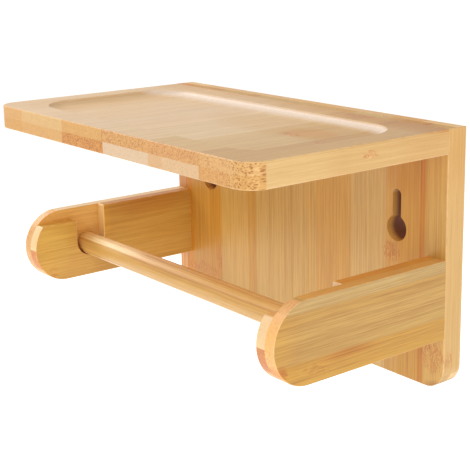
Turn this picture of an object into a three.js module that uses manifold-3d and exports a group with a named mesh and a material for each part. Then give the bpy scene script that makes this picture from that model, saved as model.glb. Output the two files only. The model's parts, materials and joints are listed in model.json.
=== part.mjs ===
// Wall-mounted toilet paper holder in laminated bamboo, with a phone shelf and a lift-off roller.
// Millimetres, +Z up. The origin is the middle of the board's rear face, the wall is the plane Y = 0,
// and the shelf and arms reach forward along -Y.
import * as THREE from 'three';
import { mergeVertices } from 'three/addons/utils/BufferGeometryUtils.js';
import Module from 'manifold-3d';

// Stock: every board is two plies glued face to face.
const STOCK_THICKNESS = 11.6;
const GLUE_LINE = 0.05;
const PLY = (STOCK_THICKNESS - GLUE_LINE) / 2;
const EASED_EDGE = 0.5;

// Back board
const WIDTH = 210;
const BOARD_HEIGHT = 124.4;
const BOARD_CORNER_RADIUS = 11.5;
const BOARD_TOP = BOARD_HEIGHT / 2;

// Keyhole slots through the board, each round end a little narrower at the wall than in front
const KEYHOLE_SPACING = 147.2;
const KEYHOLE_ROUND_RADIUS = 6.3;
const KEYHOLE_WALL_RADIUS = 5.4;
const KEYHOLE_SLOT_HALF_WIDTH = 2.7;
const KEYHOLE_ROUND_Z = 10.8;
const KEYHOLE_SLOT_TOP_Z = 29.7;
const KEYHOLE_SIDES = 64;

// Shelf, butted against the board's front face and flush with its top
const SHELF_DEPTH = 113.7;
const SHELF_CORNER_RADIUS = 10;
const SHELF_UNDERSIDE_Z = BOARD_TOP - STOCK_THICKNESS;
const SHELF_MIDDLE_Z = BOARD_TOP - STOCK_THICKNESS / 2;

// Tray recess routed into the shelf's top
const TRAY_WIDTH = 184.6;
const TRAY_DEPTH = 85;
const TRAY_REAR_MARGIN = 13.7;
const TRAY_SINK = 3.2;
const TRAY_COVE_WIDTH = 9;
const TRAY_CORNER_RADIUS = 21;

// Arms, butted against the board and flush with its sides
const ARM_LENGTH = 102;
const ARM_HEIGHT = 37.7;
const ARM_TOP_Z = 1.5;
const ARM_NOSE_RADIUS = ARM_HEIGHT / 2;
const ARM_MIDDLE_Z = ARM_TOP_Z - ARM_NOSE_RADIUS;
const ARM_MIDDLE_X = (WIDTH - STOCK_THICKNESS) / 2;

// Roller slot, cut through each arm's inner ply only and open at the top
const SLOT_WIDTH = 17;
const SLOT_CENTRE_FROM_BOARD = 67.8;
const SLOT_FLOOR_Z = -25;
const HOOK_DROP = 6.3;

// Roller
const ROLLER_RADIUS = 6;
const ROLLER_END_GAP = 0.5;
const ROLLER_EASED_END = 1;
const ROLLER_SEAT_GAP = 0.05;
const ROLLER_LENGTH = WIDTH - 2 * (STOCK_THICKNESS - PLY) - 2 * ROLLER_END_GAP;

// Countersunk wood screws, driven through the board from behind
const SCREW_LENGTH = 32;
const SCREW_HEAD_RADIUS = 3.5;
const SCREW_HEAD_RIM = 0.4;
const SCREW_HEAD_HEIGHT = 2.5;
const SCREW_CORE_RADIUS = 1.15;
const SCREW_THREAD_RADIUS = 1.75;
const SCREW_SHANK_RADIUS = 1.4;
const SCREW_SHANK_END = 9;
const SCREW_PITCH = 2.5;
const SCREW_TURNS = 8;
const SCREW_SUNK = 0.4;
const SCREW_SIDES = 12;
// Where each thread ridge starts, crests and ends, as shares of the pitch
const RIDGE_START = 0.45;
const RIDGE_CREST = 0.65;
const RIDGE_END = 0.85;
const DRIVE_RECESS_LENGTH = 3.8;
const DRIVE_RECESS_WIDTH = 1;
const DRIVE_RECESS_DEPTH = 1.8;
const BORE_GAP = 0.2;
const SHELF_SCREW_X = [-80, 0, 80];
const ARM_SCREW_SPACING = 22;

// Plain wooden dowel pins that line the joints up
const DOWEL_RADIUS = 2.5;
const DOWEL_LENGTH = 24;
const DOWEL_IN_BOARD = 8;
const DOWEL_SIDES = 16;
const SHELF_DOWEL_X = [-40, 40];

// Finish
const BAMBOO_ROUGHNESS = 0.45;
const STEEL_ROUGHNESS = 0.3;
const STEEL_COLOUR = 0xc3c5c6;
const BOARD_REAR_COLOUR = 0xd9ab6b;
const BOARD_FRONT_COLOUR = 0xd2a265;
const SHELF_LOWER_COLOUR = 0xdcab68;
const SHELF_UPPER_COLOUR = 0xe0bd8e;
const ARM_OUTER_COLOUR = 0xdcac66;
const ARM_INNER_COLOUR = 0xd9a458;
const ROLLER_COLOUR = 0xe6c48c;
const DOWEL_COLOUR = 0xdcb780;

const EDGE_SEGMENTS = 1;
const CORNER_SEGMENTS = 9;
const COVE_SEGMENTS = 6;
const ROLLER_SIDES = 36;
const OVERRUN = 5;
const QUARTER_TURN = Math.PI / 2;

const wasm = await Module();
wasm.setup();

function toSolid(geometry) {
  const bare = geometry.clone();
  bare.deleteAttribute('normal');
  bare.deleteAttribute('uv');
  const merged = mergeVertices(bare);
  return new wasm.Manifold(new wasm.Mesh({
    numProp: 3,
    vertProperties: new Float32Array(merged.attributes.position.array),
    triVerts: new Uint32Array(merged.index.array),
  }));
}

function toGeometry(solid) {
  const { vertProperties, triVerts } = solid.getMesh();
  const shared = new THREE.BufferGeometry();
  shared.setAttribute('position', new THREE.BufferAttribute(new Float32Array(vertProperties), 3));
  shared.setIndex(new THREE.BufferAttribute(new Uint32Array(triVerts), 1));
  const faceted = shared.toNonIndexed();
  faceted.computeVertexNormals();
  return faceted;
}

// A box from its lowest corner to its highest corner
function block(low, high) {
  const size = high.map((value, axis) => value - low[axis]);
  const geometry = new THREE.BoxGeometry(...size);
  geometry.translate(...low.map((value, axis) => value + size[axis] / 2));
  return toSolid(geometry);
}

// A block through a flat-lying plate's whole thickness, between two corners of its outline
function throughBlock([lowX, lowY], [highX, highY]) {
  return block([lowX, lowY, -OVERRUN], [highX, highY, STOCK_THICKNESS + OVERRUN]);
}

// An outline cut right through a flat-lying plate
function throughCutter(outline) {
  const geometry = new THREE.ExtrudeGeometry(outline, {
    depth: STOCK_THICKNESS + 2 * OVERRUN,
    bevelEnabled: false,
    curveSegments: 2 * CORNER_SEGMENTS,
  });
  geometry.translate(0, 0, -OVERRUN);
  return toSolid(geometry);
}

// An outline extruded to the stock's thickness, with the long edges of both faces eased
function easedPlate(outline) {
  const geometry = new THREE.ExtrudeGeometry(outline, {
    depth: STOCK_THICKNESS - 2 * EASED_EDGE,
    bevelEnabled: true,
    bevelThickness: EASED_EDGE,
    bevelSize: EASED_EDGE,
    bevelOffset: -EASED_EDGE,
    bevelSegments: EDGE_SEGMENTS,
    curveSegments: CORNER_SEGMENTS,
  });
  geometry.translate(0, 0, EASED_EDGE);
  return toSolid(geometry);
}

// The two plies of a plate: first the one at low z, then the one at high z
function splitIntoPlies(plate) {
  const far = 2 * WIDTH;
  const lowHalf = block([-far, -far, -OVERRUN], [far, far, PLY]);
  const highHalf = block([-far, -far, PLY + GLUE_LINE], [far, far, STOCK_THICKNESS + OVERRUN]);
  return [plate.intersect(lowHalf), plate.intersect(highHalf)];
}

function bambooMaterial(colour) {
  return new THREE.MeshStandardMaterial({ color: colour, roughness: BAMBOO_ROUGHNESS, metalness: 0 });
}

function steelMaterial() {
  return new THREE.MeshStandardMaterial({ color: STEEL_COLOUR, roughness: STEEL_ROUGHNESS, metalness: 1 });
}

function addPiece(group, name, geometry, material) {
  const mesh = new THREE.Mesh(geometry, material);
  mesh.name = name;
  group.add(mesh);
  return mesh;
}

// Placement of the boards. Each is drawn flat, its thickness along local z, then turned into place.
const holder = new THREE.Group();

// Board: local x across, local y up, local z forward from the wall
const board = new THREE.Group();
board.rotation.x = QUARTER_TURN;
holder.add(board);

// Shelf: local x across, local y towards the wall, local z up
const shelf = new THREE.Group();
shelf.position.set(0, -STOCK_THICKNESS - GLUE_LINE, SHELF_UNDERSIDE_Z);
holder.add(shelf);

// Arm: local x forward from the board, local y up, local z towards -X
function placeArm(rightHand) {
  const turned = new THREE.Group();
  turned.position.set(rightHand ? WIDTH / 2 : STOCK_THICKNESS - WIDTH / 2, 0, ARM_MIDDLE_Z);
  turned.position.y = -STOCK_THICKNESS - GLUE_LINE;
  turned.rotation.z = -QUARTER_TURN;
  const arm = new THREE.Group();
  arm.rotation.x = QUARTER_TURN;
  turned.add(arm);
  holder.add(turned);
  return arm;
}

const leftArm = placeArm(false);
const rightArm = placeArm(true);
holder.updateMatrixWorld(true);

// Fixings: where each screw and dowel pin crosses from the board into the shelf or an arm
const shelfScrews = SHELF_SCREW_X.map((x, index) => ({
  name: `shelf_screw_${index + 1}`,
  x,
  z: SHELF_MIDDLE_Z,
}));
const armScrews = [['left', -ARM_MIDDLE_X], ['right', ARM_MIDDLE_X]].flatMap(([side, x]) => [
  { name: `${side}_arm_screw_upper`, x, z: ARM_MIDDLE_Z + ARM_SCREW_SPACING / 2 },
  { name: `${side}_arm_screw_lower`, x, z: ARM_MIDDLE_Z - ARM_SCREW_SPACING / 2 },
]);
const screws = [...shelfScrews, ...armScrews];
const dowels = [
  { name: 'shelf_dowel_left', x: SHELF_DOWEL_X[0], z: SHELF_MIDDLE_Z },
  { name: 'shelf_dowel_right', x: SHELF_DOWEL_X[1], z: SHELF_MIDDLE_Z },
  { name: 'left_arm_dowel', x: -ARM_MIDDLE_X, z: ARM_MIDDLE_Z },
  { name: 'right_arm_dowel', x: ARM_MIDDLE_X, z: ARM_MIDDLE_Z },
];

// A screw along Y: its head's flat face is at y = 0 and its tip points to -Y
function screwGeometry() {
  const profile = [
    new THREE.Vector2(0, -SCREW_LENGTH),
    new THREE.Vector2(SCREW_CORE_RADIUS, -SCREW_LENGTH + SCREW_PITCH),
  ];
  const threadStart = -SCREW_LENGTH + SCREW_PITCH;
  for (let turn = 0; turn < SCREW_TURNS; turn += 1) {
    const y = threadStart + turn * SCREW_PITCH;
    profile.push(new THREE.Vector2(SCREW_CORE_RADIUS, y + RIDGE_START * SCREW_PITCH));
    profile.push(new THREE.Vector2(SCREW_THREAD_RADIUS, y + RIDGE_CREST * SCREW_PITCH));
    profile.push(new THREE.Vector2(SCREW_CORE_RADIUS, y + RIDGE_END * SCREW_PITCH));
  }
  profile.push(new THREE.Vector2(SCREW_SHANK_RADIUS, -SCREW_SHANK_END));
  profile.push(new THREE.Vector2(SCREW_SHANK_RADIUS, -SCREW_HEAD_HEIGHT));
  profile.push(new THREE.Vector2(SCREW_HEAD_RADIUS, -SCREW_HEAD_RIM));
  profile.push(new THREE.Vector2(SCREW_HEAD_RADIUS, 0));
  profile.push(new THREE.Vector2(0, 0));
  return new THREE.LatheGeometry(profile, SCREW_SIDES);
}

// The screw with a cross recess pressed into its head
function screwSolid() {
  const halfLength = DRIVE_RECESS_LENGTH / 2;
  const halfWidth = DRIVE_RECESS_WIDTH / 2;
  const bottom = -DRIVE_RECESS_DEPTH;
  const acrossX = block([-halfLength, bottom, -halfWidth], [halfLength, OVERRUN, halfWidth]);
  const acrossZ = block([-halfWidth, bottom, -halfLength], [halfWidth, OVERRUN, halfLength]);
  return toSolid(screwGeometry()).subtract(acrossX.add(acrossZ));
}

// The countersunk hole that takes a screw, drawn on the same axis as the screw
function screwBoreGeometry() {
  const profile = [
    new THREE.Vector2(0, -SCREW_LENGTH - BORE_GAP),
    new THREE.Vector2(SCREW_THREAD_RADIUS + BORE_GAP, -SCREW_LENGTH - BORE_GAP),
    new THREE.Vector2(SCREW_THREAD_RADIUS + BORE_GAP, -SCREW_HEAD_HEIGHT),
    new THREE.Vector2(SCREW_HEAD_RADIUS + BORE_GAP, -SCREW_HEAD_RIM - BORE_GAP),
    new THREE.Vector2(SCREW_HEAD_RADIUS + BORE_GAP, OVERRUN),
    new THREE.Vector2(0, OVERRUN),
  ];
  return new THREE.LatheGeometry(profile, SCREW_SIDES);
}

function dowelBoreGeometry() {
  const radius = DOWEL_RADIUS + BORE_GAP;
  return new THREE.CylinderGeometry(radius, radius, DOWEL_LENGTH + 2 * BORE_GAP, DOWEL_SIDES);
}

const DOWEL_MIDDLE_Y = DOWEL_IN_BOARD - STOCK_THICKNESS - DOWEL_LENGTH / 2;

const bores = [
  ...screws.map(({ x, z }) => screwBoreGeometry().translate(x, -SCREW_SUNK, z)),
  ...dowels.map(({ x, z }) => dowelBoreGeometry().translate(x, DOWEL_MIDDLE_Y, z)),
];

// All the fixing holes, carried into a board's own frame
function boresIn(group) {
  const toLocal = group.matrixWorld.clone().invert();
  const solids = bores.map((geometry) => toSolid(geometry.clone().applyMatrix4(toLocal)));
  return solids.reduce((joined, solid) => joined.add(solid));
}

// Back board

// A keyhole's void: a slot for a wall screw's shank over a round hole for its head
function keyholeCutter(x) {
  const slotTop = KEYHOLE_SLOT_TOP_Z - KEYHOLE_SLOT_HALF_WIDTH;
  const slot = new THREE.Shape();
  slot.moveTo(x - KEYHOLE_SLOT_HALF_WIDTH, KEYHOLE_ROUND_Z);
  slot.lineTo(x + KEYHOLE_SLOT_HALF_WIDTH, KEYHOLE_ROUND_Z);
  slot.absarc(x, slotTop, KEYHOLE_SLOT_HALF_WIDTH, 0, Math.PI, false);
  slot.closePath();
  const beyondFace = ((KEYHOLE_ROUND_RADIUS - KEYHOLE_WALL_RADIUS) / STOCK_THICKNESS) * OVERRUN;
  const round = new THREE.CylinderGeometry(
    KEYHOLE_ROUND_RADIUS + beyondFace,
    KEYHOLE_WALL_RADIUS - beyondFace,
    STOCK_THICKNESS + 2 * OVERRUN,
    KEYHOLE_SIDES,
  );
  round.rotateX(QUARTER_TURN);
  round.translate(x, KEYHOLE_ROUND_Z, STOCK_THICKNESS / 2);
  return throughCutter(slot).add(toSolid(round));
}

function boardOutline() {
  const half = WIDTH / 2;
  const radius = BOARD_CORNER_RADIUS;
  const outline = new THREE.Shape();
  outline.moveTo(half, BOARD_TOP + OVERRUN);
  outline.lineTo(-half, BOARD_TOP + OVERRUN);
  outline.lineTo(-half, -BOARD_TOP + radius);
  outline.absarc(-half + radius, -BOARD_TOP + radius, radius, Math.PI, 1.5 * Math.PI, false);
  outline.lineTo(half - radius, -BOARD_TOP);
  outline.absarc(half - radius, -BOARD_TOP + radius, radius, 1.5 * Math.PI, 2 * Math.PI, false);
  outline.closePath();
  return outline;
}

function buildBoard() {
  const aboveTop = throughBlock([-WIDTH, BOARD_TOP], [WIDTH, BOARD_TOP + 2 * OVERRUN]);
  const plate = easedPlate(boardOutline())
    .subtract(aboveTop)
    .subtract(keyholeCutter(-KEYHOLE_SPACING / 2))
    .subtract(keyholeCutter(KEYHOLE_SPACING / 2))
    .subtract(boresIn(board));
  const [rear, front] = splitIntoPlies(plate);
  addPiece(board, 'back_board_rear_ply', toGeometry(rear), bambooMaterial(BOARD_REAR_COLOUR));
  addPiece(board, 'back_board_front_ply', toGeometry(front), bambooMaterial(BOARD_FRONT_COLOUR));
}

// Shelf
function shelfOutline() {
  const half = WIDTH / 2;
  const radius = SHELF_CORNER_RADIUS;
  const outline = new THREE.Shape();
  outline.moveTo(half, OVERRUN);
  outline.lineTo(-half, OVERRUN);
  outline.lineTo(-half, -SHELF_DEPTH + radius);
  outline.absarc(-half + radius, -SHELF_DEPTH + radius, radius, Math.PI, 1.5 * Math.PI, false);
  outline.lineTo(half - radius, -SHELF_DEPTH);
  outline.absarc(half - radius, -SHELF_DEPTH + radius, radius, 1.5 * Math.PI, 2 * Math.PI, false);
  outline.closePath();
  return outline;
}

function trayOutline() {
  const half = TRAY_WIDTH / 2;
  const rear = -TRAY_REAR_MARGIN;
  const front = rear - TRAY_DEPTH;
  const radius = TRAY_CORNER_RADIUS;
  const outline = new THREE.Shape();
  outline.absarc(half - radius, rear - radius, radius, 0, QUARTER_TURN, false);
  outline.absarc(-half + radius, rear - radius, radius, QUARTER_TURN, Math.PI, false);
  outline.absarc(-half + radius, front + radius, radius, Math.PI, 1.5 * Math.PI, false);
  outline.absarc(half - radius, front + radius, radius, 1.5 * Math.PI, 2 * Math.PI, false);
  outline.closePath();
  return outline;
}

// The tray's void: straight above the rim, with its lower edge rounded into the cove
function trayCutter() {
  const geometry = new THREE.ExtrudeGeometry(trayOutline(), {
    depth: OVERRUN,
    bevelEnabled: true,
    bevelThickness: TRAY_SINK,
    bevelSize: TRAY_COVE_WIDTH,
    bevelOffset: -TRAY_COVE_WIDTH,
    bevelSegments: COVE_SEGMENTS,
    curveSegments: CORNER_SEGMENTS,
  });
  geometry.translate(0, 0, STOCK_THICKNESS);
  return toSolid(geometry);
}

function buildShelf() {
  const behindJoint = throughBlock([-WIDTH, 0], [WIDTH, 2 * OVERRUN]);
  const plate = easedPlate(shelfOutline())
    .subtract(behindJoint)
    .subtract(trayCutter())
    .subtract(boresIn(shelf));
  const [lower, upper] = splitIntoPlies(plate);
  addPiece(shelf, 'shelf_lower_ply', toGeometry(lower), bambooMaterial(SHELF_LOWER_COLOUR));
  addPiece(shelf, 'shelf_upper_ply', toGeometry(upper), bambooMaterial(SHELF_UPPER_COLOUR));
}

// Arms
function armOutline() {
  const straight = ARM_LENGTH - ARM_NOSE_RADIUS;
  const outline = new THREE.Shape();
  outline.moveTo(-OVERRUN, ARM_NOSE_RADIUS);
  outline.lineTo(-OVERRUN, -ARM_NOSE_RADIUS);
  outline.lineTo(straight, -ARM_NOSE_RADIUS);
  outline.absarc(straight, 0, ARM_NOSE_RADIUS, -QUARTER_TURN, 0, false);
  outline.absarc(straight, 0, ARM_NOSE_RADIUS, 0, QUARTER_TURN, false);
  outline.closePath();
  return outline;
}

// The slot's void in the arm's frame: a U with its round floor down, plus the notch above the hook
function slotOutline() {
  const radius = SLOT_WIDTH / 2;
  const rearX = SLOT_CENTRE_FROM_BOARD - radius;
  const floorCentre = SLOT_FLOOR_Z - ARM_MIDDLE_Z + radius;
  const hookTop = ARM_NOSE_RADIUS - HOOK_DROP;
  const above = ARM_NOSE_RADIUS + OVERRUN;
  const outline = new THREE.Shape();
  outline.moveTo(ARM_LENGTH + OVERRUN, above);
  outline.lineTo(rearX, above);
  outline.lineTo(rearX, floorCentre);
  outline.absarc(SLOT_CENTRE_FROM_BOARD, floorCentre, radius, Math.PI, 2 * Math.PI, false);
  outline.lineTo(SLOT_CENTRE_FROM_BOARD + radius, hookTop);
  outline.lineTo(ARM_LENGTH + OVERRUN, hookTop);
  outline.closePath();
  return outline;
}

function buildArm(arm, side, innerPlyIsHigh) {
  const insideBoard = throughBlock([-2 * OVERRUN, -ARM_HEIGHT], [0, ARM_HEIGHT]);
  const plate = easedPlate(armOutline()).subtract(insideBoard).subtract(boresIn(arm));
  const [low, high] = splitIntoPlies(plate);
  const outer = innerPlyIsHigh ? low : high;
  const inner = (innerPlyIsHigh ? high : low).subtract(throughCutter(slotOutline()));
  addPiece(arm, `${side}_arm_outer_ply`, toGeometry(outer), bambooMaterial(ARM_OUTER_COLOUR));
  addPiece(arm, `${side}_arm_inner_ply`, toGeometry(inner), bambooMaterial(ARM_INNER_COLOUR));
}

// Roller: a plain rod lying across both slots, its ends just clear of the outer plies
function rollerGeometry() {
  const half = ROLLER_LENGTH / 2;
  const eased = ROLLER_EASED_END;
  const onArc = eased * (1 - Math.SQRT1_2);
  const profile = [
    new THREE.Vector2(0, -half),
    new THREE.Vector2(ROLLER_RADIUS - eased, -half),
    new THREE.Vector2(ROLLER_RADIUS - onArc, -half + onArc),
    new THREE.Vector2(ROLLER_RADIUS, -half + eased),
    new THREE.Vector2(ROLLER_RADIUS, half - eased),
    new THREE.Vector2(ROLLER_RADIUS - onArc, half - onArc),
    new THREE.Vector2(ROLLER_RADIUS - eased, half),
    new THREE.Vector2(0, half),
  ];
  return new THREE.LatheGeometry(profile, ROLLER_SIDES);
}

function buildRoller() {
  const mesh = addPiece(holder, 'roller', rollerGeometry(), bambooMaterial(ROLLER_COLOUR));
  mesh.rotation.z = QUARTER_TURN;
  mesh.position.y = -STOCK_THICKNESS - GLUE_LINE - SLOT_CENTRE_FROM_BOARD;
  mesh.position.z = SLOT_FLOOR_Z + ROLLER_RADIUS + ROLLER_SEAT_GAP;
}

function buildFixings() {
  const screwShape = screwSolid();
  for (const { name, x, z } of screws) {
    const mesh = addPiece(holder, name, toGeometry(screwShape), steelMaterial());
    mesh.position.set(x, -SCREW_SUNK, z);
  }
  for (const { name, x, z } of dowels) {
    const pin = new THREE.CylinderGeometry(DOWEL_RADIUS, DOWEL_RADIUS, DOWEL_LENGTH, DOWEL_SIDES);
    const mesh = addPiece(holder, name, pin, bambooMaterial(DOWEL_COLOUR));
    mesh.position.set(x, DOWEL_MIDDLE_Y, z);
  }
}

buildBoard();
buildShelf();
buildArm(leftArm, 'left', false);
buildArm(rightArm, 'right', true);
buildRoller();
buildFixings();

export default holder;
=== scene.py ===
"""Wall-mounted toilet paper holder in laminated bamboo: the fine surface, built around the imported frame.

Metres, in the frame's axes: the wall is the plane Y = 0, +Z is up, the shelf and arms reach along -Y.
"""
import json
import math

import bmesh
import bpy
from mathutils import Matrix, Vector

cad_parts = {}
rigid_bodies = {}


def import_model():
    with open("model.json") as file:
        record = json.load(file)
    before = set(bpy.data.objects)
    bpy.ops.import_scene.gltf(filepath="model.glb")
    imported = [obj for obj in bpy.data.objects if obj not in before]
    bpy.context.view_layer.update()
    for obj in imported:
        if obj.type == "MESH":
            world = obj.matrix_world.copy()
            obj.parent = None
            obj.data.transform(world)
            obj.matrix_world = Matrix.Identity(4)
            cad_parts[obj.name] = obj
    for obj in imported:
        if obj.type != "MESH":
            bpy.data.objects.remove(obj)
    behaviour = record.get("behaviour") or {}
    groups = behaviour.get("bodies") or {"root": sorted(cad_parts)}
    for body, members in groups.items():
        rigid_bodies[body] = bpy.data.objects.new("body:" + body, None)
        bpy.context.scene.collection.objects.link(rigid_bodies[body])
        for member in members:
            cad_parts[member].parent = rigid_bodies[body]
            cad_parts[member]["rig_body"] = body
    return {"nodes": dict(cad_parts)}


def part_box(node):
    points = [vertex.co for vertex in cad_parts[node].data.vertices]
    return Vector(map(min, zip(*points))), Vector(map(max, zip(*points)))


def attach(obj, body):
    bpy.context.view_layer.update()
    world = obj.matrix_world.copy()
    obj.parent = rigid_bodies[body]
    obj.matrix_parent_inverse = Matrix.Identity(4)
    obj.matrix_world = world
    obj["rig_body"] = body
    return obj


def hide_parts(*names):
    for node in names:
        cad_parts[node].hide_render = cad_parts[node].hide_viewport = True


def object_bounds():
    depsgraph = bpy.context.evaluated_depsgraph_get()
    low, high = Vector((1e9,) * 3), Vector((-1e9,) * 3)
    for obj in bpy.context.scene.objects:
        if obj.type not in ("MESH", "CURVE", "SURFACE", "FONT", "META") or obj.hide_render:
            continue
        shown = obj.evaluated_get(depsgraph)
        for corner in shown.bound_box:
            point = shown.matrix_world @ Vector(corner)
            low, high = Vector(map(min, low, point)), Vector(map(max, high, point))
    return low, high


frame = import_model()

cad_low, cad_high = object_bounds()
MM = 0.001

# Places, from the frame
WIDTH = cad_high.x - cad_low.x
BOARD_TOP = cad_high.z
BOARD_BOTTOM = cad_low.z
BOARD_FRONT_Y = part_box("back_board_front_ply")[0].y
SHELF_REAR_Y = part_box("shelf_upper_ply")[1].y
SHELF_FRONT_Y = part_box("shelf_upper_ply")[0].y
ARM_REAR_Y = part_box("left_arm_outer_ply")[1].y
ARM_NOSE_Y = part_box("left_arm_outer_ply")[0].y
ARM_BOTTOM_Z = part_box("left_arm_outer_ply")[0].z
ARM_TOP_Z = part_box("left_arm_outer_ply")[1].z
ARM_MIDDLE_Z = (ARM_TOP_Z + ARM_BOTTOM_Z) / 2
ARM_NOSE_RADIUS = (ARM_TOP_Z - ARM_BOTTOM_Z) / 2
ARM_NOSE_CENTRE = ARM_REAR_Y - ARM_NOSE_Y - ARM_NOSE_RADIUS

# Dimensions that the CAD part has too
EASED_EDGE = 0.5 * MM
BOARD_CORNER_RADIUS = 11.5 * MM
SHELF_CORNER_RADIUS = 10 * MM
KEYHOLE_X = 73.6 * MM
KEYHOLE_ROUND_RADIUS = 6.3 * MM
KEYHOLE_WALL_RADIUS = 5.4 * MM
KEYHOLE_SLOT_HALF_WIDTH = 2.7 * MM
KEYHOLE_ROUND_Z = 10.8 * MM
KEYHOLE_SLOT_TOP_Z = 29.7 * MM
TRAY_HALF_WIDTH = 92.3 * MM
TRAY_DEPTH = 85 * MM
TRAY_REAR_MARGIN = 13.7 * MM
TRAY_SINK = 3.2 * MM
TRAY_COVE_WIDTH = 9 * MM
TRAY_CORNER_RADIUS = 21 * MM
TRAY_MIDDLE_Y = SHELF_REAR_Y - TRAY_REAR_MARGIN - TRAY_DEPTH / 2
SLOT_WIDTH = 17 * MM
SLOT_CENTRE_FROM_BOARD = 67.8 * MM
SLOT_FLOOR_Z = -25 * MM
HOOK_DROP = 6.3 * MM
ROLLER_EASED_END = 1 * MM
SCREW_LENGTH = 32 * MM
SCREW_HEAD_RADIUS = 3.5 * MM
SCREW_HEAD_RIM = 0.4 * MM
SCREW_HEAD_HEIGHT = 2.5 * MM
SCREW_CORE_RADIUS = 1.15 * MM
SCREW_THREAD_RADIUS = 1.75 * MM
SCREW_SHANK_RADIUS = 1.4 * MM
SCREW_SHANK_END = 9 * MM
SCREW_PITCH = 2.5 * MM
DRIVE_RECESS_LENGTH = 3.8 * MM
DRIVE_RECESS_WIDTH = 1 * MM
DRIVE_RECESS_DEPTH = 1.8 * MM
BORE_GAP = 0.2 * MM
DOWEL_RADIUS = 2.5 * MM

# Fine detail that only the visual model has
GLUE_ARRIS = 0.02 * MM
GLUE_FILL = 0.022 * MM
CRISP_CORNER = 0.8 * MM
RIM_EASE = 0.3 * MM
ROLLER_SANDED = 0.06 * MM
ROLLER_WANDER = 0.03 * MM
ROLLER_WAVES = ((3, 40, 0), (2, -90, 1))
SCREW_SOFT_EDGE = 0.12 * MM
SCREW_POINT_GAP = 0.02 * MM
THREAD_POINT_RADIUS = 0.05 * MM
THREAD_RIDGE_HALF_WIDTH = 0.22 * SCREW_PITCH
THREAD_TAPER = 1.6 * SCREW_PITCH
RECESS_OVERRUN = 0.5 * MM
FLUTES = 18
FLUTE_DEPTH = 0.12 * MM
DOWEL_CHAMFER = 0.8 * MM

# How finely shapes are cut, and how far cutters reach past them
ARC_STEP = math.radians(5)
EASE_STEPS = 4
COVE_STEPS = 20
ROLLER_END_STEPS = 8
ROLLER_LENGTHS = 40
RINGS_PER_THREAD_TURN = 12
SCREW_SIDES = 36
DOWEL_BORE_SIDES = 40
SCREW_BORE_SIDES = 48
ROUND_SIDES = 72
OVERRUN = 5 * MM

# What sorts faces: their normal's length along an axis, and how near they lie to something
SQUARE_TO_AXIS = 0.1
NEARLY_SQUARE_TO_AXIS = 0.3
FACES_AXIS = 0.97
LEVEL = 0.999
WEAR_AND_HIGHLIGHT_REACH = 1.2 * EASED_EDGE
END_FACE_REACH = 0.01 * MM
COVE_FOOT = 0.99 * TRAY_SINK

SHARP_ANGLE = math.radians(32)
SHARPEST_MITRE = 0.5
MILLIMETRES = (1000.0, 1000.0, 1000.0)

SCREWS = [n for n in frame["nodes"] if "_screw_" in n]
DOWELS = [n for n in frame["nodes"] if "_dowel" in n]


# Outlines: closed rings of points (u, v), counter-clockwise

def arc(centre, radius, start, end):
    steps = max(2, math.ceil(abs(end - start) / ARC_STEP))
    angles = [start + (end - start) * i / steps for i in range(steps + 1)]
    return [(centre[0] + radius * math.cos(a), centre[1] + radius * math.sin(a)) for a in angles]


def full_turn(sides):
    """The angles of a turned shape's sides."""
    return [2 * math.pi * i / sides for i in range(sides)]


def quarter_turn(steps):
    """The angles from 0 to a right angle."""
    return [math.pi / 2 * i / steps for i in range(steps + 1)]


def rounded(corners):
    """An outline through corners (u, v, radius), each turned as an arc."""
    points = []
    for i, (u, v, radius) in enumerate(corners):
        corner = Vector((u, v))
        before = (Vector(corners[i - 1][:2]) - corner).normalized()
        after = (Vector(corners[(i + 1) % len(corners)][:2]) - corner).normalized()
        half = before.angle(after) / 2
        centre = corner + (before + after).normalized() * radius / math.sin(half)
        first = corner + before * radius / math.tan(half) - centre
        last = corner + after * radius / math.tan(half) - centre
        start = math.atan2(first.y, first.x)
        sweep = (math.atan2(last.y, last.x) - start + math.pi) % (2 * math.pi) - math.pi
        points += arc(centre, radius, start, start + sweep)
    return points


def rounded_rectangle(half_width, low, high, low_radius, high_radius):
    """A rectangle, half_width to each side of 0 in u and from low to high in v."""
    return rounded([
        (-half_width, low, low_radius),
        (half_width, low, low_radius),
        (half_width, high, high_radius),
        (-half_width, high, high_radius),
    ])


def soft_corner(before, corner, after):
    """Points of a smooth curve that starts just past before, bends at corner and ends at after."""
    points = []
    for i in range(1, EASE_STEPS + 1):
        share = i / EASE_STEPS
        start = Vector(before).lerp(Vector(corner), share)
        points.append(tuple(start.lerp(Vector(corner).lerp(Vector(after), share), share)))
    return points


def inset(points, amount):
    """The outline moved inwards by amount, each point along the mean of its two edges' normals."""
    moved = []
    for i, point in enumerate(points):
        here = Vector(point)
        into = (here - Vector(points[i - 1])).normalized()
        out = (Vector(points[(i + 1) % len(points)]) - here).normalized()
        normal = Vector((-into.y - out.y, into.x + out.x)).normalized()
        share = normal.dot(Vector((-out.y, out.x)))
        moved.append(tuple(here + normal * amount / max(share, SHARPEST_MITRE)))
    return moved


# Solids

def new_object(name, bm):
    mesh = bpy.data.meshes.new(name)
    bmesh.ops.recalc_face_normals(bm, faces=bm.faces)
    bm.to_mesh(mesh)
    bm.free()
    made = bpy.data.objects.new(name, mesh)
    bpy.context.scene.collection.objects.link(made)
    return made


def loft(name, rings):
    """A closed solid through rings of points, all with the same count, with a flat cap at each end."""
    bm = bmesh.new()
    rows = [[bm.verts.new(p) for p in ring] for ring in rings]
    for low, high in zip(rows, rows[1:]):
        for i in range(len(low)):
            j = (i + 1) % len(low)
            bm.faces.new((low[i], low[j], high[j], high[i]))
    bm.faces.new(rows[0][::-1])
    bm.faces.new(rows[-1])
    return new_object(name, bm)


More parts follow.
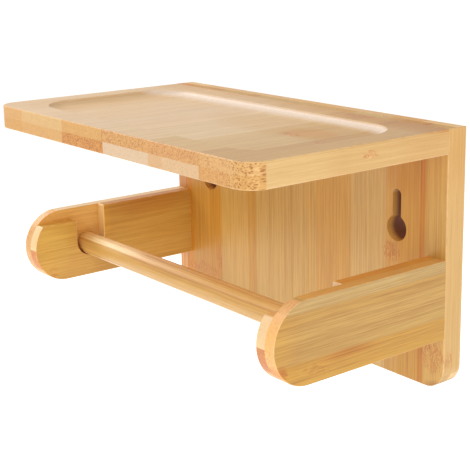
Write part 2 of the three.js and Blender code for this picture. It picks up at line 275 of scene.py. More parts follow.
def eased_profile(low, high, low_ease, high_ease):
    """Pairs (inset, height) from low to high, with a quarter round at each end."""
    quarter = quarter_turn(EASE_STEPS)
    start = [(low_ease * (1 - math.sin(a)), low + low_ease * (1 - math.cos(a))) for a in quarter]
    end = [(high_ease * (1 - math.cos(a)), high - high_ease * (1 - math.sin(a))) for a in quarter]
    return start + end


def glued_profile(low, high, low_ease, high_ease):
    """A ply's profile: its glued face, the one with the smaller ease, reaches into the glue line."""
    low -= GLUE_FILL if low_ease < high_ease else 0
    high += GLUE_FILL if high_ease < low_ease else 0
    return eased_profile(low, high, low_ease, high_ease)


def panel(name, outline, profile, place):
    """A flat panel: each ring is the outline moved in and set at a height, which place puts in the frame."""
    rings = [[place(u, v, height) for u, v in inset(outline, amount)] for amount, height in profile]
    return loft(name, rings)


def lathe(name, profile, sides, place):
    """A closed solid turned from (radius, height) pairs, with a flat cap at each end."""
    rings = []
    for radius, height in profile:
        rings.append([place(radius * math.cos(a), radius * math.sin(a), height) for a in full_turn(sides)])
    return loft(name, rings)


def joined(name, parts):
    """One object in place of all the parts."""
    bm = bmesh.new()
    for part in parts:
        bm.from_mesh(part.data)
        bpy.data.objects.remove(part)
    return new_object(name, bm)


def cut(target, cutter):
    """Takes cutter out of target, with the result in target's own mesh."""
    modifier = target.modifiers.new("cut", "BOOLEAN")
    modifier.operation = "DIFFERENCE"
    modifier.solver = "EXACT"
    modifier.object = cutter
    evaluated = target.evaluated_get(bpy.context.evaluated_depsgraph_get())
    result = bpy.data.meshes.new_from_object(evaluated)
    target.modifiers.clear()
    target.data = result


def mark_faces(piece, name, chosen):
    """A face value of 1 where chosen(face) holds, for the material to read by name."""
    values = piece.data.attributes.new(name, "FLOAT", "FACE")
    for face in piece.data.polygons:
        values.data[face.index].value = 1.0 if chosen(face) else 0.0


def mark_wear_and_highlight(piece, axis, outer):
    """A face value of 1 on the eased edges, which show wear and a painted highlight: faces that lean, close
    to the panel's outer face.
    """

    def is_worn_or_lit(face):
        leaning = SQUARE_TO_AXIS < abs(face.normal[axis]) < FACES_AXIS
        return leaning and abs(face.center[axis] - outer) < WEAR_AND_HIGHLIGHT_REACH

    mark_faces(piece, "edge_wear_and_highlight", is_worn_or_lit)


def smooth(piece):
    for face in piece.data.polygons:
        face.use_smooth = True
    piece.data.set_sharp_from_angle(angle=SHARP_ANGLE)
    weighted = piece.modifiers.new("flat faces", "WEIGHTED_NORMAL")
    weighted.keep_sharp = True


def hand_in(piece, node, material):
    """Piece stands for the CAD node: it rides on the node's body, and the node is hidden."""
    piece.data.materials.clear()
    piece.data.materials.append(material)
    smooth(piece)
    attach(piece, frame["nodes"][node]["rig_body"])
    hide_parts(node)


# Node trees

def linear(colour):
    """An sRGB colour of 0 to 255 as linear light with alpha 1."""
    shares = [c / 255 for c in colour]
    return [c / 12.92 if c <= 0.04045 else ((c + 0.055) / 1.055) ** 2.4 for c in shares] + [1.0]


class Tree:
    """Short names for making and joining nodes in one node tree."""

    def __init__(self, tree):
        self.tree = tree

    def feed(self, socket, value):
        if isinstance(value, bpy.types.NodeSocket):
            self.tree.links.new(value, socket)
        elif value is not None:
            socket.default_value = value

    def node(self, kind, inputs=(), **settings):
        made = self.tree.nodes.new(kind)
        for name, value in settings.items():
            setattr(made, name, value)
        for key, value in dict(inputs).items():
            self.feed(made.inputs[key], value)
        return made

    def math(self, operation, first, second=None, clamp=False):
        made = self.node("ShaderNodeMath", operation=operation, use_clamp=clamp)
        self.feed(made.inputs[0], first)
        self.feed(made.inputs[1], second)
        return made.outputs[0]

    def vector(self, operation, first, second=None):
        made = self.node("ShaderNodeVectorMath", operation=operation)
        self.feed(made.inputs[0], first)
        self.feed(made.inputs[1], second)
        return made.outputs["Value" if operation == "DOT_PRODUCT" else "Vector"]

    def mix(self, share, first, second, blend="MIX"):
        made = self.node("ShaderNodeMix", data_type="RGBA", blend_type=blend)
        self.feed(made.inputs[0], share)
        self.feed(made.inputs[6], first)
        self.feed(made.inputs[7], second)
        return made.outputs[2]

    def shade(self, colour, factors):
        """Colour with its red, green and blue multiplied by factors."""
        return self.mix(1.0, colour, (*factors, 1.0), "MULTIPLY")

    def weighted(self, *terms):
        """The sum of value times weight over the terms (value, weight)."""
        total = 0.0
        for value, weight in terms:
            total = self.math("ADD", total, self.math("MULTIPLY", value, weight))
        return total

    def attribute(self, name):
        return self.node("ShaderNodeAttribute", attribute_name=name).outputs["Fac"]

    def noise(self, place, scale, detail=3.0, roughness=0.55):
        """Noise of 0 to 1. Scale is in cycles per millimetre along each of place's axes."""
        stretched = self.vector("MULTIPLY", place, scale)
        inputs = {"Vector": stretched, "Scale": 1.0, "Detail": detail, "Roughness": roughness}
        return self.node("ShaderNodeTexNoise", inputs).outputs[0]

    def between(self, value, low, high):
        """Value's way from low to high, smoothed and kept within 0 to 1."""
        made = self.node("ShaderNodeMapRange", interpolation_type="SMOOTHSTEP")
        self.feed(made.inputs["Value"], value)
        made.inputs["From Min"].default_value = low
        made.inputs["From Max"].default_value = high
        return made.outputs["Result"]


def new_material(name):
    material = bpy.data.materials.new(name)
    material.use_nodes = True
    material.node_tree.nodes.clear()
    return material, Tree(material.node_tree)


def finish_material(t, colour, roughness, height, bump_distance, **uniform):
    """The shader, with colour, roughness and bump from nodes and every uniform number on its own socket."""
    bump = t.node("ShaderNodeBump", {"Height": height, "Strength": 1.0, "Distance": bump_distance})
    inputs = {"Base Color": colour, "Roughness": roughness, "Normal": bump.outputs[0]}
    shader = t.node("ShaderNodeBsdfPrincipled", inputs)
    for name, value in uniform.items():
        shader.inputs[name.replace("_", " ").title().replace("Ior", "IOR")].default_value = value
    output = t.node("ShaderNodeOutputMaterial")
    t.tree.links.new(shader.outputs[0], output.inputs[0])


# Bamboo: strips glued side by side, fibres along the grain, dotted ends

# Patterns of the grain, in cycles per millimetre across the strips, through the panel and along the grain
CURL_SCALE = (0.22, 0.22, 0.12)
BAND_SCALE = (0.10, 0.10, 0.003)
LINE_SCALE = (0.9, 0.9, 0.009)
FIBRE_SCALE = (2.2, 2.2, 0.05)
VEIN_SCALE = (1.3, 1.3, 0.01)
PORE_SCALE = (4.2, 4.2, 0.1)
DRIFT_SCALE = (0.04, 0.04, 0.014)
MARK_SCALE = (0.55, 0.55, 0.3)
CELL_SCALE = (1.15, 1.2, 0.02)
CELL_PATCH_SCALE = (0.3, 0.3, 0.02)
END_CLOUD_SCALE = (0.55, 0.8, 0.02)
WEAR_AND_HIGHLIGHT_SCALE = (0.3, 0.3, 0.3)

# What each feature of the grain multiplies the strip's own tone by
DEEP_STREAK = (0.76, 0.66, 0.50)
PALE_STREAK = (1.13, 1.19, 1.30)
DRIFT = (0.96, 0.86, 0.70)
VEIN = (0.82, 0.68, 0.48)
PORE = (0.55, 0.38, 0.24)
SCAR = (0.70, 0.46, 0.32)
SCAR_GAP = (1.08, 1.0, 0.96)
DEEP_END = (0.88, 0.80, 0.70)
PALE_END = (1.07, 1.10, 1.14)
END_DOT = (0.58, 0.34, 0.20)
GLUE_LINE = (0.93, 0.87, 0.78)

# How strongly some of them show
DRIFT_STRENGTH = 0.28
PORE_STRENGTH = 0.30
WEAR_AND_HIGHLIGHT_STRENGTH = 0.35
END_CLOUDING = (0.2, 0.8)
SIDE_CALMING = 0.35
# Most dots are washed out under the cove's painted highlight
COVE_DOTS_LOST = 0.9

# Tones in sRGB, lengths in millimetres
# Pale tone of the eased edges: partly wear, partly a painted highlight
WEAR_AND_HIGHLIGHT_TONE = (244, 210, 164)
# Painted shade deep inside the keyholes, varied by the fibres
HOLE_SHADE_DEEP = (88, 40, 15)
HOLE_SHADE_PALE = (152, 82, 32)
CURL_PUSH = 7.0
GLUE_LINE_WIDTH = 0.28
LAST_STRIP_REACH = 60
SEED_WEIGHTS = (371.0, 497.0, 679.0)

SMOOTHEST = 0.36
COAT = {"coat_weight": 0.15, "coat_roughness": 0.35}
BUMP_DISTANCE = 0.05 * MM


def grain_patterns(t, given):
    """The strip's own place, and its noise patterns, which bend where a leaf joint crossed it."""
    offset = t.node("ShaderNodeCombineXYZ", {1: given["Seed"], 2: given["Seed"]}).outputs[0]
    place = t.vector("ADD", given["Place"], offset)
    curl = t.node("ShaderNodeTexNoise", {"Vector": t.vector("MULTIPLY", place, CURL_SCALE), "Scale": 1.0})
    curl = t.vector("SUBTRACT", curl.outputs["Color"], (0.5, 0.5, 0.5))
    push = t.math("MULTIPLY", given["Mark"], CURL_PUSH)
    push = t.node("ShaderNodeCombineXYZ", {0: push, 1: push}).outputs[0]
    bent = t.vector("ADD", place, t.vector("MULTIPLY", curl, push))
    return place, {
        "bands": t.noise(bent, BAND_SCALE, 2.0),
        "lines": t.noise(bent, LINE_SCALE, 4.0, 0.75),
        "fibres": t.noise(bent, FIBRE_SCALE, 3.0, 0.6),
        "veins": t.between(t.noise(bent, VEIN_SCALE, 2.0), 0.58, 0.68),
        "pores": t.between(t.noise(bent, PORE_SCALE, 2.0), 0.6, 0.78),
        "drift": t.between(t.noise(place, DRIFT_SCALE, 2.0), 0.35, 0.7),
    }


def long_grain(t, given, grain):
    """The colour along the fibres: streaks, slow drift, veins, pores and the scars of leaf joints."""
    tone = given["Long Tone"]
    streak = t.weighted((grain["bands"], 0.13), (grain["lines"], 0.50), (grain["fibres"], 0.37))
    streak = t.math("SUBTRACT", t.between(streak, 0.39, 0.61), 0.5)
    streak = t.math("ADD", t.math("MULTIPLY", streak, given["Contrast"]), 0.5, clamp=True)
    colour = t.mix(streak, t.shade(tone, DEEP_STREAK), t.shade(tone, PALE_STREAK))
    colour = t.mix(t.math("MULTIPLY", grain["drift"], DRIFT_STRENGTH), colour, t.shade(colour, DRIFT))
    veined = t.math("MULTIPLY", grain["veins"], given["Contrast"], clamp=True)
    colour = t.mix(veined, colour, t.shade(colour, VEIN))
    colour = t.mix(t.math("MULTIPLY", grain["pores"], PORE_STRENGTH), colour, t.shade(tone, PORE))
    scarred = t.mix(t.between(grain["fibres"], 0.4, 0.6), t.shade(tone, SCAR), t.shade(tone, SCAR_GAP))
    return t.mix(given["Mark"], colour, scarred)


def end_grain(t, given, place):
    """The colour where the fibres are cut across, and the small dark dots of their bundles."""
    tone = given["End Tone"]
    cells = t.node("ShaderNodeTexVoronoi", {"Vector": t.vector("MULTIPLY", place, CELL_SCALE), "Scale": 1.0})
    dots = t.math("SUBTRACT", 1.0, t.between(cells.outputs["Distance"], 0.24, 0.52))
    patchy = t.between(t.noise(place, CELL_PATCH_SCALE, 2.0), 0.28, 0.55)
    dots = t.math("MULTIPLY", t.math("MULTIPLY", dots, patchy), given["Dots"])
    least, growth = END_CLOUDING
    clouding = t.math("ADD", least, t.math("MULTIPLY", given["Dots"], growth))
    cloudy = t.math("SUBTRACT", t.between(t.noise(place, END_CLOUD_SCALE, 4.0, 0.7), 0.3, 0.7), 0.5)
    cloudy = t.math("ADD", 0.5, t.math("MULTIPLY", cloudy, clouding))
    colour = t.mix(cloudy, t.shade(tone, DEEP_END), t.shade(tone, PALE_END))
    return t.mix(dots, colour, t.shade(tone, END_DOT)), dots


def bamboo_group():
    """The node group that every bamboo material shares.

    Place is (across, through, along the grain) in millimetres. Contrast and Dots are how strongly the
    streaks and the fibre bundles show. End, Wear And Highlight, Mark and Hole Shade say how far a place is
    end grain, an eased edge paled by wear and a painted highlight, a leaf joint's scar and deep in a
    keyhole's painted shade.
    """
    group = bpy.data.node_groups.new("bamboo", "ShaderNodeTree")
    for in_out, sockets in (
        ("INPUT", {
            "Place": "Vector", "Seed": "Float", "Long Tone": "Color", "End Tone": "Color",
            "Contrast": "Float", "Dots": "Float", "End": "Float", "Wear And Highlight": "Float", "Mark": "Float",
            "Hole Shade": "Float",
        }),
        ("OUTPUT", {"Colour": "Color", "Roughness": "Float", "Height": "Float"}),
    ):
        for name, kind in sockets.items():
            group.interface.new_socket(name, in_out=in_out, socket_type="NodeSocket" + kind)
    t = Tree(group)
    given = t.node("NodeGroupInput").outputs
    place, grain = grain_patterns(t, given)
    end_colour, dots = end_grain(t, given, place)
    colour = t.mix(given["End"], long_grain(t, given, grain), end_colour)
    # Eased edges turn paler in patches: partly wear, partly a painted highlight.
    wear_and_highlight = t.math("MULTIPLY", given["Wear And Highlight"], t.between(t.noise(given["Place"], WEAR_AND_HIGHLIGHT_SCALE, 3.0), 0.25, 0.7))
    colour = t.mix(t.math("MULTIPLY", wear_and_highlight, WEAR_AND_HIGHLIGHT_STRENGTH), colour, linear(WEAR_AND_HIGHLIGHT_TONE))
    # Painted shade deep in the keyholes, varied by the fibres.
    colour = t.mix(given["Hole Shade"], colour, t.mix(grain["fibres"], linear(HOLE_SHADE_DEEP), linear(HOLE_SHADE_PALE)))
    rougher = t.weighted(
        (grain["lines"], 0.14), (grain["pores"], 0.12), (given["End"], 0.10), (given["Hole Shade"], 0.30),
        (wear_and_highlight, 0.08),
    )
    made = t.node("NodeGroupOutput").inputs
    t.feed(made["Colour"], colour)
    t.feed(made["Roughness"], t.math("ADD", SMOOTHEST, rougher, clamp=True))
    t.feed(made["Height"], t.weighted(
        (grain["fibres"], 0.5), (grain["lines"], 0.5), (grain["pores"], -0.6), (dots, -0.5),
    ))
    return group


BAMBOO = bamboo_group()


def strip_ramp(t, across, strips):
    """The tone of the strip at a place across the panel, with a dark glue line where two strips meet.

    Strips are (first millimetre, colour, dots).
    """
    start, end = strips[0][0], strips[-1][0] + LAST_STRIP_REACH
    stops = []
    for i, (first, colour, dots) in enumerate(strips):
        tone = linear(colour)[:3]
        if i > 0:
            line = [c * shade for c, shade in zip(tone, GLUE_LINE)]
            stops.append((first - GLUE_LINE_WIDTH / 2, line + [dots]))
        stops.append((first + GLUE_LINE_WIDTH / 2 if i > 0 else first, tone + [dots]))
    ramp = t.node("ShaderNodeValToRGB")
    t.feed(ramp.inputs[0], t.math("DIVIDE", t.math("SUBTRACT", across, start), end - start))
    ramp.color_ramp.interpolation = "CONSTANT"
    elements = ramp.color_ramp.elements
    while len(elements) > 1:
        elements.remove(elements[-1])
    for i, (first, tone) in enumerate(stops):
        position = max(0.0, (first - start) / (end - start))
        stop = elements[0] if i == 0 else elements.new(position)
        stop.position = position
        stop.color = tone
    return ramp.outputs["Color"], ramp.outputs["Alpha"]


def soft_patch(t, place, centre, size):
    """1 around centre, fading to 0 at the ellipsoid that reaches size from it along each axis."""
    out = t.vector("DIVIDE", t.vector("SUBTRACT", place, centre), size)
    return t.math("SUBTRACT", 1.0, t.between(t.vector("DOT_PRODUCT", out, out), 0.15, 1.0))


def leaf_joints(t, place, marks):
    """How far a place is scarred by the leaf joints, which are (centre, size, strength)."""
    scarred = 0.0
    for centre, size, strength in marks:
        patch = t.math("MULTIPLY", soft_patch(t, place, centre, size), strength)
        patch = t.math("MULTIPLY", patch, t.between(t.noise(place, MARK_SCALE, 3.0), 0.30, 0.50))
        scarred = t.math("MAXIMUM", scarred, patch)
    return scarred


def tinted(t, place, tones, tints):
    """The tones, multiplied by each tint's shade in its soft patch. Tints are (centre, size, shade)."""
    for centre, size, shade in tints:
        patch = soft_patch(t, place, centre, size)
        tones = [t.mix(patch, tone, t.shade(tone, shade)) for tone in tones]
    return tones


def cove_ends_and_highlight(t, end, end_tone, dots, forward, cove_highlight_tone):
    """End, its tone and dots with the tray's cove as end grain where it faces forward, in
    cove_highlight_tone, a pale tone that is partly a painted highlight, and with most of its dots gone.
    """
    cove = t.attribute("cove")
    end_tone = t.mix(cove, end_tone, linear(cove_highlight_tone))
    dots = t.math("MULTIPLY", dots, t.math("SUBTRACT", 1.0, t.math("MULTIPLY", cove, COVE_DOTS_LOST)))
    elsewhere = t.math("MULTIPLY", end, t.math("SUBTRACT", 1.0, cove))
    end = t.math("ADD", elsewhere, t.math("MULTIPLY", cove, t.between(forward, 0.02, 0.40)))
    return end, end_tone, dots


def bamboo(name, axes, strips, end_strips=None, marks=(), contrast=1.0, end_from=0.5, hole_shade=None,
           cove_highlight_tone=None, tints=()):
    """A bamboo material. Axes are the frame's axes across the strips, through the panel and along the grain.

    Faces that lean towards the grain by more than end_from show end grain. Hole_shade is the pair of depths
    between which a keyhole's wall turns from bare wood to painted shade. Cove_highlight_tone is the pale
    tone of the tray's cove: partly its end grain, partly a painted highlight. Marks and tints are as in
    leaf_joints and tinted, in (across, through, along).
    """
    material, t = new_material(name)
    coordinates = t.node("ShaderNodeTexCoord").outputs
    in_mm = t.vector("MULTIPLY", coordinates["Object"], MILLIMETRES)
    parts = t.node("ShaderNodeSeparateXYZ", {0: in_mm}).outputs
    across, through, along = (parts["XYZ".index(axis)] for axis in axes)
    place = t.node("ShaderNodeCombineXYZ", {0: across, 1: through, 2: along}).outputs[0]
    facing = t.node("ShaderNodeSeparateXYZ", {0: coordinates["Normal"]}).outputs
    facing_across, _, facing_along = (facing["XYZ".index(axis)] for axis in axes)
    end = t.between(t.math("ABSOLUTE", facing_along), end_from, end_from + 0.1)
    calming = t.math("MULTIPLY", t.math("ABSOLUTE", facing_across), SIDE_CALMING)
    shown = t.math("MULTIPLY", t.math("SUBTRACT", 1.0, calming), contrast)

    long_tone = strip_ramp(t, across, strips)[0]
    seed = t.vector("DOT_PRODUCT", long_tone, SEED_WEIGHTS)
    end_tone, dots = strip_ramp(t, across, end_strips or strips)
    if cove_highlight_tone:
        forward = t.math("MULTIPLY", facing_along, -1.0)
        end, end_tone, dots = cove_ends_and_highlight(t, end, end_tone, dots, forward, cove_highlight_tone)
    long_tone, end_tone = tinted(t, place, (long_tone, end_tone), tints)
    # Painted shade on the keyholes' walls, darker deeper into the board.
    hole_shaded = t.math("MULTIPLY", t.attribute("bore_wall"), t.between(through, *hole_shade)) if hole_shade else 0.0

    group = t.node("ShaderNodeGroup", node_tree=BAMBOO)
    for key, value in (
        ("Place", place), ("Seed", seed), ("Long Tone", long_tone), ("End Tone", end_tone),
        ("Contrast", shown), ("Dots", dots), ("End", end), ("Wear And Highlight", t.attribute("edge_wear_and_highlight")),
        ("Mark", leaf_joints(t, place, marks)), ("Hole Shade", hole_shaded),
    ):
        t.feed(group.inputs[key], value)
    made = group.outputs
    finish_material(t, made["Colour"], made["Roughness"], made["Height"], BUMP_DISTANCE, **COAT)
    return material


ZINC_TONES = ((176, 178, 178), (216, 216, 210))
ZINC_SPECK = (140, 140, 138)
ZINC_BUMP_DISTANCE = 0.02 * MM


def zinc_steel():
    """Zinc-plated screw steel: bright, with a cloudy plating and fine turning marks."""
    material, t = new_material("zinc_steel")
    place = t.vector("MULTIPLY", t.node("ShaderNodeTexCoord").outputs["Object"], MILLIMETRES)
    cloudy = t.noise(place, (0.9, 0.9, 0.9), 4.0, 0.6)
    turned = t.noise(place, (0.6, 9.0, 0.6), 3.0)
    speck = t.between(t.noise(place, (5.0, 5.0, 5.0), 2.0), 0.55, 0.75)
    colour = t.mix(t.between(cloudy, 0.3, 0.7), *(linear(tone) for tone in ZINC_TONES))
    colour = t.mix(t.math("MULTIPLY", speck, 0.35), colour, linear(ZINC_SPECK))
    roughness = t.math("ADD", 0.22, t.math("MULTIPLY", cloudy, 0.2), clamp=True)
    height = t.weighted((turned, 1.0), (speck, -0.5))
    finish_material(t, colour, roughness, height, ZINC_BUMP_DISTANCE, metallic=1.0)
    return material


# Tones of bamboo, in sRGB
HONEY = (222, 178, 118)
GOLD = (222, 174, 102)
STRAW = (232, 194, 134)
SIDE_STRAW = (228, 193, 133)
PALE_BOARD_EDGE = (225, 187, 121)
# The cove's pale tone: partly its end grain, partly a painted highlight
COVE_HIGHLIGHT_TONE = (231, 212, 194)

# Places on the object, in millimetres
RIGHT_SIDE = WIDTH / 2 / MM
LEFT_SIDE = -RIGHT_SIDE
SIDE_STRIP = RIGHT_SIDE - 0.8
SHELF_TOP = BOARD_TOP / MM
TRAY_FLOOR = SHELF_TOP - TRAY_SINK / MM
ARM_FOOT = -37
ARM_TOP_STRIP = 1.2

# A soft patch's reach, in millimetres, along an axis on which it has no end
THROUGH_PANEL = 99
THROUGH_ARM = 199
RIGHT_ACROSS = 999

BOARD_CONTRAST = 0.55
# Depths through the board between which the keyholes' walls turn to painted shade
BOARD_HOLE_SHADE = (-10.0, -6.2)
# Painted shade on the board's upper right under the shelf, and a darker end grain tone at its bottom right
# corner
BOARD_SHADE_AND_CORNER_TINTS = [((84, 0, 50), (30, 30), (0.95, 0.86, 0.70)), ((102, 0, -63), (11, 6), (0.72, 0.56, 0.42))]


def run_through(patches, reach):
    """Patches of (centre, (across, along), last), with reach as their size through the ply."""
    return [(centre, (across, reach, along), last) for centre, (across, along), last in patches]


def board_bamboo(name, strips, marks):
    return bamboo(name, "XYZ", strips, marks=run_through(marks, THROUGH_PANEL),
                  contrast=BOARD_CONTRAST, hole_shade=BOARD_HOLE_SHADE,
                  tints=run_through(BOARD_SHADE_AND_CORNER_TINTS, THROUGH_PANEL))


def board_front_bamboo():
    # The strip from -97.5 to -91.5, in the corner beside the left arm, is dark partly in its own tone and
    # partly in painted shade.
    strips = [
        (LEFT_SIDE, (214, 152, 86), 0.5), (-97.5, (209, 139, 33), 0.5), (-91.5, (204, 149, 61), 0.5),
        (-75, (200, 142, 50), 0.5), (-64.5, (202, 158, 81), 0.4), (-40, (197, 146, 63), 0.5),
        (-33, (200, 160, 88), 0.4), (-3, (202, 162, 90), 0.5), (8, (203, 160, 83), 0.5),
        (17, (205, 156, 73), 0.4), (42, (207, 170, 103), 0.4), (65.5, (204, 155, 73), 0.3),
        (74, (200, 147, 52), 0.5), (88.6, (194, 127, 24), 0.6), (91.4, (203, 159, 79), 0.5),
        (SIDE_STRIP, PALE_BOARD_EDGE, 0.5),
    ]
    marks = [
        ((-81, 0, -44), (18, 5), 0.9), ((-66, 0, -34), (3, 9), 0.7), ((70, 0, -1), (7, 6), 0.9),
        ((98, 0, -47), (9, 9), 1.3),
    ]
    return board_bamboo("board_front_bamboo", strips, marks)


def board_rear_bamboo():
    strips = [
        (LEFT_SIDE, STRAW, 0.5), (-84, HONEY, 0.4), (-47, HONEY, 0.5), (-11, GOLD, 0.4), (26, HONEY, 0.5),
        (62, GOLD, 0.5), (83, STRAW, 0.3), (SIDE_STRIP, PALE_BOARD_EDGE, 0.5),
    ]
    marks = [((-66, 0, 22), (17, 6), 0.8), ((44, 0, -20), (16, 6), 0.9)]
    return board_bamboo("board_rear_bamboo", strips, marks)


SHELF_END_FROM = 0.05

# The shelf's right side is lighter in front and deeper behind: painted light in front, painted shade behind
SIDE_LIGHT_AND_SHADE = [
    ((RIGHT_SIDE, 57, -118), (3, THROUGH_PANEL, 45), (1.04, 1.09, 1.17)),
    ((RIGHT_SIDE, 57, 0), (3, THROUGH_PANEL, 52), (0.97, 0.92, 0.86)),
]


def shelf_upper_bamboo():
    strips = [
        (LEFT_SIDE, (225, 190, 145), 0.2), (-75, (227, 194, 151), 0.2), (-38, (225, 194, 154), 0.2),
        (-2, (223, 192, 148), 0.3), (35, (214, 180, 125), 0.3), (45, (212, 176, 119), 0.3),
        (72.7, (201, 159, 97), 0.4), (SIDE_STRIP, SIDE_STRAW, 0.4),
    ]
    ends = [
        (LEFT_SIDE, (219, 170, 105), 0.2), (-78, (221, 181, 120), 0.2), (-38, (216, 166, 93), 0.35),
        (-2, (214, 161, 94), 0.8), (35, (214, 160, 97), 0.7), (72.7, (218, 170, 106), 0.7),
        (92, (218, 172, 106), 1.0), (SIDE_STRIP, (218, 172, 106), 1.0),
    ]
    marks = [
        ((53, TRAY_FLOOR, -60), (9, 2, 4), 1.0), ((80, TRAY_FLOOR, -63), (9, 2, 4), 1.0),
        ((-43, 62, -14), (15, 2, 4), 0.9), ((52, 62, -15), (14, 2, 4), 0.9),
        ((RIGHT_SIDE, 57, -60), (3, 2.9, 5.5), 1.0),
    ]
    rear_margin = [
        ((0, SHELF_TOP, 0), (RIGHT_ACROSS, 1.6, 34), (0.92, 0.82, 0.62)),
        ((60, SHELF_TOP, 0), (110, 1.6, 34), (0.94, 0.77, 0.42)),
    ]
    tray_floor = [
        ((45, TRAY_FLOOR, -48), (75, 2, 24), (0.95, 0.88, 0.74)),
        ((58, TRAY_FLOOR, -52), (20, 2, 13), (0.99, 0.83, 0.54)),
    ]
    return bamboo("shelf_upper_bamboo", "XZY", strips, ends, marks, contrast=0.45, end_from=SHELF_END_FROM,
                  cove_highlight_tone=COVE_HIGHLIGHT_TONE, tints=[*rear_margin, *SIDE_LIGHT_AND_SHADE, *tray_floor])


def shelf_lower_bamboo():
    strips = [
        (LEFT_SIDE, STRAW, 0.2), (-75, HONEY, 0.2), (-38, GOLD, 0.3), (-2, STRAW, 0.2), (35, STRAW, 0.2),
        (72.7, HONEY, 0.3), (SIDE_STRIP, SIDE_STRAW, 0.3),
    ]
    ends = [
        (LEFT_SIDE, (215, 163, 91), 0.2), (-78, (217, 168, 100), 0.2), (-38, (210, 146, 67), 1.0),
        (-1.5, (220, 191, 157), 0.15), (35, (217, 175, 127), 0.2), (46, (219, 183, 139), 0.2),
        (72.7, (215, 161, 91), 0.6), (92, (215, 165, 93), 1.0), (SIDE_STRIP, (215, 165, 93), 1.0),
    ]
    marks = [((RIGHT_SIDE, 57.5, -60), (3, 2.6, 5.5), 1.0)]
    return bamboo("shelf_lower_bamboo", "XZY", strips, ends, marks, contrast=0.5, end_from=SHELF_END_FROM,
                  tints=SIDE_LIGHT_AND_SHADE)


NOSE_TINT = ((-18, 0, -116), (40, 26), (1.02, 0.98, 0.84))


def arm_bamboo(name, strips, end_strips, marks=(), contrast=0.5, tints=()):
    return bamboo(name, "ZXY", strips, end_strips, run_through(marks, THROUGH_ARM), contrast,
                  end_from=0.15, tints=run_through([NOSE_TINT, *tints], THROUGH_ARM))


def left_outer_bamboo():
    strips = [(ARM_FOOT, GOLD, 0.3), (-24, (233, 185, 104), 0.3), (ARM_TOP_STRIP, (235, 211, 171), 0.3)]
    ends = [(ARM_FOOT, (228, 178, 120), 0.5), (-6, (232, 186, 130), 0.4)]
    return arm_bamboo("left_outer_bamboo", strips, ends)


def left_inner_bamboo():
    strips = [(ARM_FOOT, (206, 159, 76), 0.3), (-24, (203, 156, 69), 0.3)]
    ends = [(ARM_FOOT, (228, 178, 120), 0.4), (-28, (216, 138, 76), 0.6), (-17.5, (238, 206, 164), 0.1)]
    marks = [((-31, 0, -104), (4, 5), 0.7)]
    # The first tint is painted shade near the board under the shelf; the second is a painted highlight along
    # the hook's top edge.
    tints = [
        ((3, 0, -40), (17, 45), (0.90, 0.72, 0.62)), ((-4.8, 0, -94), (1.0, 17), (1.2, 1.3, 1.5)),
        ((-8, 0, -71), (20, 6), (1.15, 1.12, 0.74)), ((-18, 0, -104), (24, 17), (1.05, 1.13, 1.08)),
    ]
    return arm_bamboo("left_inner_bamboo", strips, ends, marks, tints=tints)


def right_inner_bamboo():
    strips = [(ARM_FOOT, GOLD, 0.3), (-22, (232, 188, 132), 0.3), (-4, (217, 157, 77), 0.2)]
    ends = [(ARM_FOOT, (228, 180, 124), 0.4), (-29, (212, 140, 84), 0.5), (-18, (238, 208, 168), 0.1)]
    return arm_bamboo("right_inner_bamboo", strips, ends)


def right_outer_bamboo():
    strips = [
        (ARM_FOOT, (201, 150, 54), 0.4), (-25.5, (198, 155, 80), 0.3),
        (-9, (195, 149, 71), 0.3), (-4, (197, 162, 99), 0.2), (ARM_TOP_STRIP, (222, 173, 100), 0.2),
    ]
    ends = [(ARM_FOOT, (230, 182, 126), 0.4), (-18, (234, 184, 128), 0.2), (-3, (230, 182, 126), 0.3)]
    marks = [((-29, 0, -108), (4, 3), 0.9), ((-30, 0, -90), (5, 14), 0.5)]
    tints = [
        ((-27, 0, -72), (3.5, 24), (0.90, 0.70, 0.46)), ((-28, 0, -110), (6, 5), (0.88, 0.64, 0.38)),
        ((-18, 0, -114), (30, 16), (1.10, 1.10, 0.92)),
    ]
    return arm_bamboo("right_outer_bamboo", strips, ends, marks, 0.7, tints)


def roller_bamboo():
    strips = [
        (-90, (216, 170, 94), 0.3), (-84.7, (208, 158, 82), 0.3), (-84.1, (224, 184, 118), 0.3),
        (-81.6, (214, 170, 106), 0.3), (-80.8, (226, 188, 130), 0.3), (-77.5, (214, 170, 104), 0.3),
    ]
    # A whitish painted highlight on the roller's top towards its left end.
    tints = [((-81.5, -14, -66), (5, 8, 34), (1.12, 1.34, 1.75))]
    return bamboo("roller_bamboo", "YZX", strips, contrast=0.8, tints=tints)


def dowel_wood():
    return bamboo("dowel_wood", "XZY", [(LEFT_SIDE, STRAW, 0.3), (0, HONEY, 0.3)])


# Bores for the screws and dowel pins, set round the CAD nodes

def along_wall_normal(x, y, z):
    """Puts a turned shape at (x, y, z) with its height pointing at the wall."""
    return lambda u, v, height: (x + u, y + height, z + v)


def middle(node):
    low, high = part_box(node)
    return (low + high) / 2


def screw_bore(node):
    centre = middle(node)
    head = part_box(node)[1].y
    profile = [
        (SCREW_THREAD_RADIUS + BORE_GAP, -SCREW_LENGTH - BORE_GAP),
        (SCREW_THREAD_RADIUS + BORE_GAP, -SCREW_HEAD_HEIGHT),
        (SCREW_HEAD_RADIUS + BORE_GAP, -SCREW_HEAD_RIM - BORE_GAP),
        (SCREW_HEAD_RADIUS + BORE_GAP, OVERRUN),
    ]
    return lathe("bore", profile, SCREW_BORE_SIDES, along_wall_normal(centre.x, head, centre.z))


def dowel_bore(node):
    low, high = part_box(node)
    radius = DOWEL_RADIUS + BORE_GAP
    profile = [(radius, low.y - BORE_GAP), (radius, high.y + BORE_GAP)]
    centre = middle(node)
    return lathe("bore", profile, DOWEL_BORE_SIDES, along_wall_normal(centre.x, 0, centre.z))


